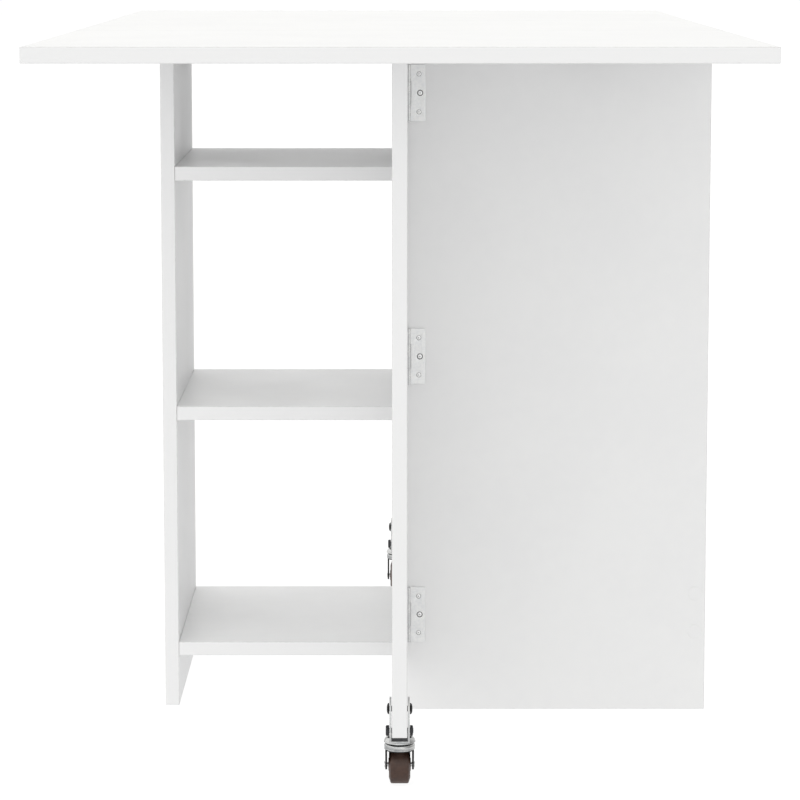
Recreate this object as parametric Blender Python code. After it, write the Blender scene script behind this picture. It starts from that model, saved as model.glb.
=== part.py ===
"""Sewing table with two drop leaves, each held up by a hinged gate on a swivel caster.

X runs across the table, Y along it and Z up, all in metres. The floor is Z = 0, and the top is
centred on X = 0 and Y = 0. The front half is the -Y half, and the rear half is its mirror image.
The open bay is on the left (-X), and the closed bay is on the right (+X).
"""

import math

import bmesh
import bpy
from mathutils import Matrix, Vector

# Boards
BOARD = 0.016
BOARD_ARRIS = 0.0008
FIT_GAP = 0.0003

# Top: a fixed centre section with a leaf hinged to each long side
TOP_WIDTH = 0.726
TOP_HEIGHT = 0.783
LEAF_DEPTH = 0.509
LEAF_GAP = 0.002

# Cabinet
CABINET_DEPTH = 0.307
LEFT_OVERHANG = 0.0915
RIGHT_OVERHANG = 0.0107
LEFT_BAY_WIDTH = 0.2597
SHELF_TOPS = {"lower": 0.0752, "middle": 0.3513, "upper": 0.6272}
GATE_CLEARANCE = 0.001
RAIL_HEIGHT = 0.0765
RAIL_SETBACK = 0.004

# Gates
GATE_LENGTH = 0.337
GATE_DROP = 0.006
GATE_EDGE_GAP = 0.0035
GATE_PIN_INSET = 0.0012
PANEL_PAST_PIN = 0.0028
GLIDE_LENGTH = 0.040
GLIDE_WIDTH = 0.012
GLIDE_INSET = 0.020

# Butt hinges, the same on the gates and the leaves
HINGE_LENGTH = 0.064
HINGE_LEAF_WIDTH = 0.01875
HINGE_THICKNESS = 0.0012
HINGE_PIN_OFFSET = 0.003
BARREL_RADIUS = 0.002
BORE_RADIUS = 0.0014
PIN_RADIUS = 0.0011
MIDDLE_KNUCKLE = 0.027
KNUCKLE_GAP = 0.0003
LEAF_ROOT = 0.0023
HINGE_SCREW_SPACING = 0.0214
HINGE_SCREW_IN = 0.0111
HINGE_MIDDLE_SCREW_IN = 0.0124
SCREW_HOLE_RADIUS = 0.0017
COUNTERSINK_RADIUS = 0.0031
MIDDLE_COUNTERSINK_RADIUS = 0.0034
GATE_HINGE_BELOW_TOP = 0.049
GATE_HINGE_ABOVE_BOTTOM = 0.0545
LEAF_HINGE_X = 0.215
LEAF_HINGE_CLEARANCE = 0.00145

# Casters
CASTER_INSET = 0.020
BRACKET_LENGTH = 0.036
BRACKET_THICKNESS = 0.002
BRACKET_SIDE_GAP = 0.0006
BRACKET_TOP_RADIUS = 0.0125
BRACKET_SHOULDER = 0.012
PAD_THICKNESS = 0.0035
BOLT_RADIUS = 0.003
BOLT_CLEARANCE = 0.0003
UPPER_BOLT_ABOVE_EDGE = 0.0266
LOWER_BOLT_ABOVE_EDGE = 0.0030
BUTTON_RADIUS = 0.0059
BUTTON_HEIGHT = 0.0026
NUT_ACROSS_FLATS = 0.010
NUT_HEIGHT = 0.0037
RACE_RADIUS = 0.01675
RACE_HEIGHT = 0.0027
RACE_DOME = 0.0012
RACE_GAP = 0.0005
HOUSING_RADIUS = 0.0162
HOUSING_THICKNESS = 0.0049
HOUSING_SKIRT = 0.0006
HOUSING_SKIRT_DROP = 0.0017
CROWN_THICKNESS = 0.0026
KINGPIN_RADIUS = 0.003
KINGPIN_HEAD_RADIUS = 0.005
KINGPIN_HEAD_HEIGHT = 0.0018
RIVET_RADIUS = 0.0055
RIVET_HEIGHT = 0.0016
WHEEL_RADIUS = 0.020
WHEEL_CLEARANCE = 0.0004
WHEEL_HUB_WIDTH = 0.0236
WHEEL_TREAD_WIDTH = 0.0190
WHEEL_TREAD_ROUNDING = 0.0009
WHEEL_TRAIL = 0.0153
FORK_SIDE_GAP = 0.0013
FORK_LEG = 0.002
FORK_END_RADIUS = 0.0055
FORK_TOP_OUTWARD = 0.010
FORK_TOP_INWARD = 0.012
FORK_TOP_EDGE = 0.002
AXLE_RADIUS = 0.0025
AXLE_HEAD_RADIUS = 0.0034
AXLE_HEAD_HEIGHT = 0.0008
AXLE_CLEARANCE = 0.0003

HOLE_STEPS = 12
SMALL_STEPS = 16
ROUND_STEPS = 36

# Derived places across the table
TOP_LEFT = -TOP_WIDTH / 2
TOP_RIGHT = TOP_WIDTH / 2
CABINET_LEFT = TOP_LEFT + LEFT_OVERHANG
CABINET_RIGHT = TOP_RIGHT - RIGHT_OVERHANG
LEFT_BAY_START = CABINET_LEFT + BOARD
DIVIDER_LEFT = LEFT_BAY_START + LEFT_BAY_WIDTH
DIVIDER_RIGHT = DIVIDER_LEFT + BOARD
GATE_PIN_X = (DIVIDER_LEFT + DIVIDER_RIGHT) / 2 - GATE_PIN_INSET
PANEL_LEFT = GATE_PIN_X - PANEL_PAST_PIN
GATE_X = GATE_PIN_X - HINGE_PIN_OFFSET - BOARD / 2

# Derived heights, from the floor up through the caster, and then down from the top
CROWN_BOTTOM = 2 * WHEEL_RADIUS + WHEEL_CLEARANCE
CROWN_TOP = CROWN_BOTTOM + CROWN_THICKNESS
KINGPIN_BOTTOM = CROWN_BOTTOM - FIT_GAP - KINGPIN_HEAD_HEIGHT
HOUSING_FLOOR = CROWN_TOP + FIT_GAP
HOUSING_BOTTOM = HOUSING_FLOOR - HOUSING_SKIRT_DROP
HOUSING_TOP = HOUSING_FLOOR + HOUSING_THICKNESS
LEG_TOP = HOUSING_BOTTOM - FIT_GAP
RACE_BOTTOM = HOUSING_TOP + RACE_GAP
BRACKET_BOTTOM = RACE_BOTTOM + RACE_HEIGHT
BRACKET_BASE_TOP = BRACKET_BOTTOM + BRACKET_THICKNESS
PAD_BOTTOM = BRACKET_BASE_TOP + FIT_GAP
PAD_TOP = PAD_BOTTOM + PAD_THICKNESS
GATE_BOTTOM = PAD_TOP + FIT_GAP
UPPER_BOLT_Z = GATE_BOTTOM + UPPER_BOLT_ABOVE_EDGE
LOWER_BOLT_Z = GATE_BOTTOM + LOWER_BOLT_ABOVE_EDGE
TOP_UNDERSIDE = TOP_HEIGHT - BOARD
CABINET_TOP = TOP_UNDERSIDE - FIT_GAP
GATE_TOP = TOP_UNDERSIDE - GATE_DROP
LEAF_PIN_Z = TOP_UNDERSIDE - HINGE_PIN_OFFSET
UPPER_HINGE_Z = GATE_TOP - GATE_HINGE_BELOW_TOP
LOWER_HINGE_Z = GATE_BOTTOM + GATE_HINGE_ABOVE_BOTTOM
GATE_HINGE_HEIGHTS = {
    "lower": LOWER_HINGE_Z,
    "middle": (LOWER_HINGE_Z + UPPER_HINGE_Z) / 2,
    "upper": UPPER_HINGE_Z,
}

# Derived distances from the middle of the table towards either end
PANEL_BACK = CABINET_DEPTH / 2 + FIT_GAP
PANEL_FACE = PANEL_BACK + BOARD
GATE_PIN_Y = PANEL_FACE + HINGE_PIN_OFFSET
GATE_INNER = GATE_PIN_Y + GATE_EDGE_GAP
GATE_OUTER = GATE_INNER + GATE_LENGTH
LEAF_PIN_Y = PANEL_FACE + LEAF_HINGE_CLEARANCE + HINGE_LEAF_WIDTH
CENTRE_TOP_HALF = LEAF_PIN_Y - LEAF_GAP / 2
LEAF_INNER = LEAF_PIN_Y + LEAF_GAP / 2
LEAF_OUTER = LEAF_INNER + LEAF_DEPTH
CASTER_Y = GATE_OUTER - CASTER_INSET
AXLE_Y = CASTER_Y - WHEEL_TRAIL

# Half widths of the caster about the gate's middle plane
PLATE_INNER = BOARD / 2 + BRACKET_SIDE_GAP
PLATE_OUTER = PLATE_INNER + BRACKET_THICKNESS
FORK_INNER = WHEEL_HUB_WIDTH / 2 + FORK_SIDE_GAP
FORK_OUTER = FORK_INNER + FORK_LEG

ENDS = {"front": -1, "rear": 1}
SHARP_ANGLE = math.radians(35)


def clear_scene():
    for old in list(bpy.data.objects):
        bpy.data.objects.remove(old, do_unlink=True)


def material(name, colour, roughness, metallic=0.0):
    made = bpy.data.materials.new(name)
    made.use_nodes = True
    shader = made.node_tree.nodes["Principled BSDF"]
    shader.inputs["Base Color"].default_value = (*colour, 1.0)
    shader.inputs["Roughness"].default_value = roughness
    shader.inputs["Metallic"].default_value = metallic
    return made


def finished(name, bm, smooth=False):
    """A mesh of what bm holds, with its faces pointing out."""
    bmesh.ops.recalc_face_normals(bm, faces=bm.faces)
    mesh = bpy.data.meshes.new(name)
    bm.to_mesh(mesh)
    bm.free()
    if smooth:
        mesh.shade_smooth()
        mesh.set_sharp_from_angle(angle=SHARP_ANGLE)
    return mesh


def add_object(name, mesh, finish=None):
    made = bpy.data.objects.new(name, mesh)
    bpy.context.scene.collection.objects.link(made)
    if finish:
        mesh.materials.clear()
        mesh.materials.append(finish)
    return made


def helper(mesh):
    """An object that only cuts or joins another, and isn't part of the table."""
    made = add_object("helper", mesh)
    made.hide_render = True
    made.display_type = "WIRE"
    return made


def box_mesh(low, high):
    bm = bmesh.new()
    size = Vector(high) - Vector(low)
    centre = (Vector(high) + Vector(low)) / 2
    bmesh.ops.create_cube(bm, size=1.0, matrix=Matrix.LocRotScale(centre, None, size))
    return finished("box", bm)


def prism_mesh(outline, start, end):
    """Extrudes an outline of (y, z) points along X."""
    bm = bmesh.new()
    face = bm.faces.new([bm.verts.new((start, y, z)) for y, z in outline])
    grown = bmesh.ops.extrude_face_region(bm, geom=[face])["geom"]
    moved = [item for item in grown if isinstance(item, bmesh.types.BMVert)]
    bmesh.ops.translate(bm, verts=moved, vec=(end - start, 0, 0))
    return finished("prism", bm)


def turned_mesh(profile, axis, centre, steps):
    """Turns a profile of (radius, along) points about an axis through centre.

    A profile that starts and ends on the axis makes a solid, and any other one makes a ring.
    """
    bm = bmesh.new()
    points = [bm.verts.new((radius, 0, along)) for radius, along in profile]
    edges = [bm.edges.new(pair) for pair in zip(points, points[1:])]
    if profile[0][0] > 0:
        edges.append(bm.edges.new((points[-1], points[0])))
    bmesh.ops.spin(
        bm,
        geom=points + edges,
        cent=(0, 0, 0),
        axis=(0, 0, 1),
        angle=2 * math.pi,
        steps=steps,
        use_merge=True,
    )
    bmesh.ops.remove_doubles(bm, verts=bm.verts, dist=1e-7)
    turn = Vector((0, 0, 1)).rotation_difference(Vector(axis)).to_matrix().to_4x4()
    bmesh.ops.transform(bm, matrix=Matrix.Translation(centre) @ turn, verts=bm.verts)
    return finished("turned", bm, smooth=True)


def rod_mesh(radius, start, end, axis, centre, steps=SMALL_STEPS):
    return turned_mesh([(0, start), (radius, start), (radius, end), (0, end)], axis, centre, steps)


def arc(centre_a, centre_b, radius, start, end, steps):
    """Points on an arc, with its angles in degrees from the first direction to the second."""
    turns = [math.radians(start + (end - start) * i / steps) for i in range(steps + 1)]
    return [(centre_a + radius * math.cos(t), centre_b + radius * math.sin(t)) for t in turns]


def tangent_angle(a, b, radius):
    """Where the line from (a, b) touches a circle about the origin, anticlockwise of (a, b)."""
    return math.degrees(math.atan2(b, a) + math.acos(radius / math.hypot(a, b)))


def boolean(target, mesh, operation):
    tool = helper(mesh)
    step = target.modifiers.new(operation.lower(), "BOOLEAN")
    step.object = tool
    step.operation = operation
    step.solver = "EXACT"


def carved(mesh, steps):
    """The mesh that is left after each (mesh, operation) step in turn."""
    body = add_object("pattern", mesh)
    for tool, operation in steps:
        boolean(body, tool, operation)
    evaluated = body.evaluated_get(bpy.context.evaluated_depsgraph_get())
    result = bpy.data.meshes.new_from_object(evaluated)
    for tool in [step.object for step in body.modifiers]:
        bpy.data.objects.remove(tool)
    bpy.data.objects.remove(body)
    return result


def on_side(place, side, middle):
    """Whether a point lies on a box's side, such as "-x", rather than on the opposite one."""
    axis = "xyz".index(side[1])
    return (place[axis] > middle[axis]) == (side[0] == "+")


def board(name, low, high, finish, butted=()):
    """A board with softened edges, but sharp round each side that butts against other boards."""
    made = add_object(name, box_mesh(low, high), finish)
    mesh = made.data
    middle = (Vector(high) + Vector(low)) / 2
    softness = mesh.attributes.new("bevel_weight_edge", "FLOAT", "EDGE")
    for edge, share in zip(mesh.edges, softness.data):
        ends = [mesh.vertices[i].co for i in edge.vertices]
        sharp = any(all(on_side(end, side, middle) for end in ends) for side in butted)
        share.value = 0.0 if sharp else 1.0
    arris = made.modifiers.new("arris", "BEVEL")
    arris.width = BOARD_ARRIS
    arris.segments = 2
    arris.limit_method = "WEIGHT"
    return made


def toward(end, inner, outer):
    """The two Y values, lowest first, of a stretch given by its distances from the middle."""
    return sorted((ENDS[end] * inner, ENDS[end] * outer))


def joint_axis(name, place):
    empty = bpy.data.objects.new(name, None)
    empty.location = place
    bpy.context.scene.collection.objects.link(empty)
    return empty


def hang_on(axis, *pieces):
    """Parents pieces to a joint axis without moving them."""
    for piece in pieces:
        piece.parent = axis
        piece.matrix_parent_inverse = Matrix.Translation(axis.location).inverted()


# Cabinet and top ------------------------------------------------------------------------------


def build_cabinet(white):
    open_half = CABINET_DEPTH / 2 - GATE_CLEARANCE
    closed_half = CABINET_DEPTH / 2
    board(
        "left_side_panel",
        (CABINET_LEFT, -open_half, 0),
        (LEFT_BAY_START, open_half, CABINET_TOP),
        white,
    )
    board(
        "centre_divider",
        (DIVIDER_LEFT, -closed_half, 0),
        (DIVIDER_RIGHT, closed_half, CABINET_TOP),
        white,
    )
    for end in ENDS:
        y_low, y_high = toward(end, PANEL_BACK, PANEL_FACE)
        board(
            f"{end}_fixed_panel",
            (PANEL_LEFT, y_low, 0),
            (CABINET_RIGHT, y_high, CABINET_TOP),
            white,
        )
    for level, height in SHELF_TOPS.items():
        board(
            f"left_shelf_{level}",
            (LEFT_BAY_START + FIT_GAP, -open_half, height - BOARD),
            (DIVIDER_LEFT - FIT_GAP, open_half, height),
            white,
            butted=("-x", "+x"),
        )
        board(
            f"right_shelf_{level}",
            (DIVIDER_RIGHT + FIT_GAP, -closed_half, height - BOARD),
            (CABINET_RIGHT, closed_half, height),
            white,
            butted=("-x", "-y", "+y"),
        )
    rail_right = CABINET_RIGHT - RAIL_SETBACK
    rail_bottom = SHELF_TOPS["lower"] + FIT_GAP
    board(
        "right_end_rail",
        (rail_right - BOARD, -closed_half, rail_bottom),
        (rail_right, closed_half, rail_bottom + RAIL_HEIGHT),
        white,
        butted=("-y", "+y", "-z"),
    )


def build_top(white):
    """The centre section and the two leaves. Returns each leaf by its end."""
    board(
        "top_centre_section",
        (TOP_LEFT, -CENTRE_TOP_HALF, TOP_UNDERSIDE),
        (TOP_RIGHT, CENTRE_TOP_HALF, TOP_HEIGHT),
        white,
    )
    leaves = {}
    for end in ENDS:
        y_low, y_high = toward(end, LEAF_INNER, LEAF_OUTER)
        leaves[end] = board(
            f"{end}_leaf",
            (TOP_LEFT, y_low, TOP_UNDERSIDE),
            (TOP_RIGHT, y_high, TOP_HEIGHT),
            white,
        )
    return leaves


# Gates ----------------------------------------------------------------------------------------


def bolt_slot_outline(y):
    """Where the lower bolt breaks out of the gate's bottom edge: round above, open below."""
    radius = BOLT_RADIUS + BOLT_CLEARANCE
    over = arc(y, LOWER_BOLT_Z, radius, 0, 180, 10)
    return over + [(y - radius, GATE_BOTTOM - radius), (y + radius, GATE_BOTTOM - radius)]


def build_gate(end, white, plastic):
    y_low, y_high = toward(end, GATE_INNER, GATE_OUTER)
    low = (GATE_X - BOARD / 2, y_low, GATE_BOTTOM)
    high = (GATE_X + BOARD / 2, y_high, GATE_TOP)
    gate = board(f"{end}_gate", low, high, white)
    bolt_y = ENDS[end] * CASTER_Y
    boolean(gate, bolt_hole_mesh(bolt_y, UPPER_BOLT_Z), "DIFFERENCE")
    slot = prism_mesh(bolt_slot_outline(bolt_y), GATE_X - BOARD, GATE_X + BOARD)
    boolean(gate, slot, "DIFFERENCE")

    glide_outer = GATE_OUTER - GLIDE_INSET
    y_low, y_high = toward(end, glide_outer - GLIDE_LENGTH, glide_outer)
    glide = board(
        f"{end}_gate_glide",
        (GATE_X - GLIDE_WIDTH / 2, y_low, GATE_TOP + FIT_GAP),
        (GATE_X + GLIDE_WIDTH / 2, y_high, TOP_UNDERSIDE - FIT_GAP),
        plastic,
    )
    return [gate, glide]


# Hinges ---------------------------------------------------------------------------------------


def knuckle_spans(part):
    """Where a hinge half's knuckles lie along the pin. The fixed half has the two outer ones."""
    half = HINGE_LENGTH / 2
    inner = MIDDLE_KNUCKLE / 2
    if part == "moving":
        return [(-inner, inner)]
    return [(-half, -inner - KNUCKLE_GAP), (inner + KNUCKLE_GAP, half)]


def hinge_screw_places():
    """(distance from the pin, place along the pin, countersink radius) of the three screws."""
    ends = [
        (HINGE_SCREW_IN, sign * HINGE_SCREW_SPACING, COUNTERSINK_RADIUS) for sign in (-1, 1)
    ]
    return ends + [(HINGE_MIDDLE_SCREW_IN, 0.0, MIDDLE_COUNTERSINK_RADIUS)]


def knuckle_steps(part, front, back):
    """Joins each knuckle's tube, and the tongue that ties it to the plate."""
    steps = []
    for low, high in knuckle_spans(part):
        tongue = box_mesh((0, front, low), (LEAF_ROOT + HINGE_THICKNESS, back, high))
        ring = [
            (BORE_RADIUS, low),
            (BARREL_RADIUS, low),
            (BARREL_RADIUS, high),
            (BORE_RADIUS, high),
        ]
        tube = turned_mesh(ring, (0, 0, 1), (0, 0, 0), SMALL_STEPS)
        steps += [(tongue, "UNION"), (tube, "UNION")]
    return steps


def countersink_steps(front, back):
    """Cuts the three screw holes, each countersunk through most of the plate."""
    steps = []
    sunk = 0.8 * HINGE_THICKNESS
    beyond = HINGE_THICKNESS
    for along, place, sink_radius in hinge_screw_places():
        spread = sink_radius + (sink_radius - SCREW_HOLE_RADIUS) * beyond / sunk
        profile = [
            (0, front - beyond),
            (spread, front - beyond),
            (SCREW_HOLE_RADIUS, front + sunk),
            (SCREW_HOLE_RADIUS, back + beyond),
            (0, back + beyond),
        ]
        hole = turned_mesh(profile, (0, 1, 0), (along, 0, place), HOLE_STEPS)
        steps.append((hole, "DIFFERENCE"))
    return steps


def hinge_half_mesh(part, finish, with_pin=False):
    """Half a butt hinge: the pin is on local Z, the plate runs along +X and its back faces +Y."""
    half = HINGE_LENGTH / 2
    back = HINGE_PIN_OFFSET - FIT_GAP
    front = back - HINGE_THICKNESS
    plate = box_mesh((LEAF_ROOT, front, -half), (HINGE_LEAF_WIDTH, back, half))
    steps = knuckle_steps(part, front, back) + countersink_steps(front, back)
    if with_pin:
        steps.append((staked_pin_mesh(), "UNION"))
    mesh = carved(plate, steps)
    mesh.shade_smooth()
    mesh.set_sharp_from_angle(angle=SHARP_ANGLE)
    mesh.materials.clear()
    mesh.materials.append(finish)
    return mesh


def staked_pin_mesh():
    """A pin whose ends are spread into the outer knuckles, so that it turns with them."""
    half = HINGE_LENGTH / 2
    spread = (BORE_RADIUS + BARREL_RADIUS) / 2
    head = BARREL_RADIUS
    profile = [
        (0, -half + FIT_GAP),
        (spread, -half + FIT_GAP),
        (spread, -half + head),
        (PIN_RADIUS, -half + head),
        (PIN_RADIUS, half - head),
        (spread, half - head),
        (spread, half - FIT_GAP),
        (0, half - FIT_GAP),
    ]
    return turned_mesh(profile, (0, 0, 1), (0, 0, 0), SMALL_STEPS)


def place_hinge_half(name, mesh, origin, plate_direction, back_direction):
    made = add_object(name, mesh)
    x_axis = Vector(plate_direction)
    y_axis = Vector(back_direction)
    turn = Matrix((x_axis, y_axis, x_axis.cross(y_axis))).transposed()
    made.matrix_world = Matrix.Translation(origin) @ turn.to_4x4()
    return made


def build_gate_hinges(end, halves, steel):
    """Three butt hinges. Returns the halves that turn with the gate."""
    outward = ENDS[end]
    turning = []
    for level, height in GATE_HINGE_HEIGHTS.items():
        origin = Vector((GATE_PIN_X, outward * GATE_PIN_Y, height))
        name = f"{end}_gate_hinge_{level}"
        place_hinge_half(
            f"{name}_fixed_half", halves["fixed"], origin, (1, 0, 0), (0, -outward, 0)
        )
        turning.append(
            place_hinge_half(
                f"{name}_moving_half", halves["moving"], origin, (0, outward, 0), (-1, 0, 0)
            )
        )
        half = HINGE_LENGTH / 2 - FIT_GAP
        pin = rod_mesh(PIN_RADIUS, -half, half, (0, 0, 1), origin)
        add_object(f"{name}_pin", pin, steel)
    return turning


def build_leaf_hinges(end, halves):
    """Two butt hinges under the joint. Returns the halves that turn with the leaf."""
    outward = ENDS[end]
    turning = []
    for side, x in (("left", -LEAF_HINGE_X), ("right", LEAF_HINGE_X)):
        origin = Vector((x, outward * LEAF_PIN_Y, LEAF_PIN_Z))
        name = f"{end}_leaf_hinge_{side}"
        place_hinge_half(
            f"{name}_fixed_half", halves["staked"], origin, (0, -outward, 0), (0, 0, 1)
        )
        turning.append(
            place_hinge_half(
                f"{name}_moving_half", halves["moving"], origin, (0, outward, 0), (0, 0, 1)
            )
        )
    return turning


# Casters --------------------------------------------------------------------------------------


def bracket_side_outline(y):
    """A side plate: straight below the shoulder, then tapering to a round top over the bolt."""
    half = BRACKET_LENGTH / 2
    shoulder = BRACKET_BOTTOM + BRACKET_SHOULDER
    touch = tangent_angle(half, shoulder - UPPER_BOLT_Z, BRACKET_TOP_RADIUS)
    top = arc(y, UPPER_BOLT_Z, BRACKET_TOP_RADIUS, touch, 180 - touch, 16)
    return [
        (y - half, BRACKET_BOTTOM),
        (y + half, BRACKET_BOTTOM),
        (y + half, shoulder),
        *top,
        (y - half, shoulder),
    ]


def race_profile():
    """The upper race: a shallow pressed dome about the bracket's base."""
    edge = BRACKET_THICKNESS / 2
    dome_top = BRACKET_BASE_TOP + RACE_DOME
    return [
        (0, RACE_BOTTOM + edge),
        (RACE_RADIUS - 2 * edge, RACE_BOTTOM + edge),
        (RACE_RADIUS - edge, RACE_BOTTOM),
        (RACE_RADIUS, RACE_BOTTOM + edge / 2),
        (RACE_RADIUS - edge, BRACKET_BOTTOM + edge / 2),
        (RACE_RADIUS - 3 * edge, dome_top - edge / 2),
        (RACE_RADIUS - 5 * edge, dome_top),
        (0, dome_top),
    ]


def kingpin_profile():
    """The king pin, with its head under the fork's crown and its rivet on the bracket's base."""
    rivet_bottom = BRACKET_BASE_TOP - BRACKET_THICKNESS / 3
    return [
        (0, KINGPIN_BOTTOM),
        (KINGPIN_HEAD_RADIUS, KINGPIN_BOTTOM),
        (KINGPIN_HEAD_RADIUS, KINGPIN_BOTTOM + KINGPIN_HEAD_HEIGHT),
        (KINGPIN_RADIUS, KINGPIN_BOTTOM + KINGPIN_HEAD_HEIGHT),
        (KINGPIN_RADIUS, rivet_bottom),
        (RIVET_RADIUS, rivet_bottom),
        (RIVET_RADIUS, BRACKET_BASE_TOP + RIVET_HEIGHT / 2),
        (RIVET_RADIUS * 0.7, BRACKET_BASE_TOP + RIVET_HEIGHT),
        (0, BRACKET_BASE_TOP + RIVET_HEIGHT),
    ]


def build_bracket(end, y, plated):
    """The U-shaped clamp with its upper race and king pin, which are riveted to it."""
    outline = bracket_side_outline(y)
    half = BRACKET_LENGTH / 2
    overlap = BRACKET_THICKNESS / 2
    bracket = add_object(
        f"{end}_caster_bracket",
        prism_mesh(outline, GATE_X - PLATE_OUTER, GATE_X - PLATE_INNER),
        plated,
    )
    other = prism_mesh(outline, GATE_X + PLATE_INNER, GATE_X + PLATE_OUTER)
    boolean(bracket, other, "UNION")
    for height in (UPPER_BOLT_Z, LOWER_BOLT_Z):
        boolean(bracket, bolt_hole_mesh(y, height), "DIFFERENCE")
    base = box_mesh(
        (GATE_X - PLATE_OUTER + overlap, y - half, BRACKET_BOTTOM),
        (GATE_X + PLATE_OUTER - overlap, y + half, BRACKET_BASE_TOP),
    )
    boolean(bracket, base, "UNION")
    dome = turned_mesh(race_profile(), (0, 0, 1), (GATE_X, y, 0), ROUND_STEPS)
    inside = box_mesh(
        (GATE_X - PLATE_OUTER + overlap, y - BRACKET_LENGTH, BRACKET_BASE_TOP - overlap),
        (GATE_X + PLATE_OUTER - overlap, y + BRACKET_LENGTH, UPPER_BOLT_Z),
    )
    boolean(bracket, carved(dome, [(inside, "DIFFERENCE")]), "UNION")
    pin = turned_mesh(kingpin_profile(), (0, 0, 1), (GATE_X, y, 0), SMALL_STEPS)
    boolean(bracket, pin, "UNION")
    return bracket


def bolt_hole_mesh(y, height):
    reach = 2 * PLATE_OUTER
    radius = BOLT_RADIUS + BOLT_CLEARANCE
    return rod_mesh(radius, -reach, reach, (1, 0, 0), (GATE_X, y, height))


def build_pad(end, y, rubber):
    """The rubber pad between the bracket and the gate's bottom edge, with a hole for the rivet."""
    half = BRACKET_LENGTH / 2
    pad = add_object(
        f"{end}_caster_pad",
        box_mesh(
            (GATE_X - BOARD / 2, y - half, PAD_BOTTOM),
            (GATE_X + BOARD / 2, y + half, PAD_TOP),
        ),
        rubber,
    )
    reach = 2 * PAD_THICKNESS
    place = (GATE_X, y, PAD_BOTTOM)
    hole = rod_mesh(RIVET_RADIUS + FIT_GAP, -reach, reach, (0, 0, 1), place)
    boolean(pad, hole, "DIFFERENCE")
    return pad


def build_bolts(end, y, black, grey):
    """The upper bolt with a round head at each side, and the lower one with its hexagons."""
    seat = PLATE_OUTER + FIT_GAP
    dome = [
        (BUTTON_RADIUS, seat + BUTTON_HEIGHT * 0.15),
        (BUTTON_RADIUS * 0.93, seat + BUTTON_HEIGHT * 0.55),
        (BUTTON_RADIUS * 0.72, seat + BUTTON_HEIGHT * 0.87),
        (BUTTON_RADIUS * 0.38, seat + BUTTON_HEIGHT),
        (0, seat + BUTTON_HEIGHT),
    ]
    right = [(BOLT_RADIUS, seat), (BUTTON_RADIUS, seat), *dome]
    left = [(radius, -along) for radius, along in reversed(right)]
    upper = add_object(
        f"{end}_caster_upper_bolt",
        turned_mesh(left + right, (1, 0, 0), (GATE_X, y, UPPER_BOLT_Z), SMALL_STEPS),
        black,
    )
    reach = seat + NUT_HEIGHT / 2
    lower = add_object(
        f"{end}_caster_lower_bolt",
        rod_mesh(BOLT_RADIUS, -reach, reach, (1, 0, 0), (GATE_X, y, LOWER_BOLT_Z)),
        grey,
    )
    corner = NUT_ACROSS_FLATS / math.sqrt(3)
    hexagon = arc(y, LOWER_BOLT_Z, corner, 0, 300, 5)
    for sign in (-1, 1):
        span = sorted((GATE_X + sign * seat, GATE_X + sign * (seat + NUT_HEIGHT)))
        boolean(lower, prism_mesh(hexagon, *span), "UNION")
    return [upper, lower]


def build_housing(end, y, plated):
    """The turning bearing cup. Its skirt covers the edge of the fork's crown."""
    bore = KINGPIN_RADIUS + FIT_GAP
    inner = HOUSING_RADIUS - HOUSING_SKIRT
    profile = [
        (bore, HOUSING_TOP),
        (bore, HOUSING_FLOOR),
        (inner, HOUSING_FLOOR),
        (inner, HOUSING_BOTTOM),
        (HOUSING_RADIUS, HOUSING_BOTTOM),
        (HOUSING_RADIUS, HOUSING_TOP - HOUSING_SKIRT),
        (HOUSING_RADIUS - HOUSING_SKIRT, HOUSING_TOP),
    ]
    return add_object(
        f"{end}_caster_housing",
        turned_mesh(profile, (0, 0, 1), (GATE_X, y, 0), ROUND_STEPS),
        plated,
    )


def fork_leg_outline(end, y):
    """One leg: from under the housing down to a round end about the axle, which trails inwards."""
    inward = -ENDS[end]
    axle_y = y + inward * WHEEL_TRAIL
    outer = -WHEEL_TRAIL - FORK_TOP_OUTWARD
    inner = -WHEEL_TRAIL + FORK_TOP_INWARD
    edge = LEG_TOP - FORK_TOP_EDGE
    first = tangent_angle(outer, edge - WHEEL_RADIUS, FORK_END_RADIUS)
    last = 180 - tangent_angle(-inner, LEG_TOP - WHEEL_RADIUS, FORK_END_RADIUS)
    around = arc(0, WHEEL_RADIUS, FORK_END_RADIUS, first, last + 360, 14)
    points = [(outer, LEG_TOP), (outer, edge), *around, (inner, LEG_TOP)]
    return [(axle_y + inward * along, height) for along, height in points]


def build_fork(end, y, axle_y, black):
    """The crown that turns inside the housing, with a leg down each side of the wheel."""
    crown_radius = HOUSING_RADIUS - HOUSING_SKIRT - FIT_GAP
    bore = KINGPIN_RADIUS + FIT_GAP
    profile = [
        (bore, CROWN_BOTTOM),
        (crown_radius, CROWN_BOTTOM),
        (crown_radius, CROWN_TOP),
        (bore, CROWN_TOP),
    ]
    fork = add_object(
        f"{end}_caster_fork",
        turned_mesh(profile, (0, 0, 1), (GATE_X, y, 0), ROUND_STEPS),
        black,
    )
    outline = fork_leg_outline(end, y)
    for sign in (-1, 1):
        span = sorted((GATE_X + sign * FORK_INNER, GATE_X + sign * FORK_OUTER))
        boolean(fork, prism_mesh(outline, *span), "UNION")
    reach = 2 * FORK_OUTER
    place = (GATE_X, axle_y, WHEEL_RADIUS)
    hole = rod_mesh(AXLE_RADIUS + AXLE_CLEARANCE, -reach, reach, (1, 0, 0), place)
    boolean(fork, hole, "DIFFERENCE")
    return fork


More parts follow.
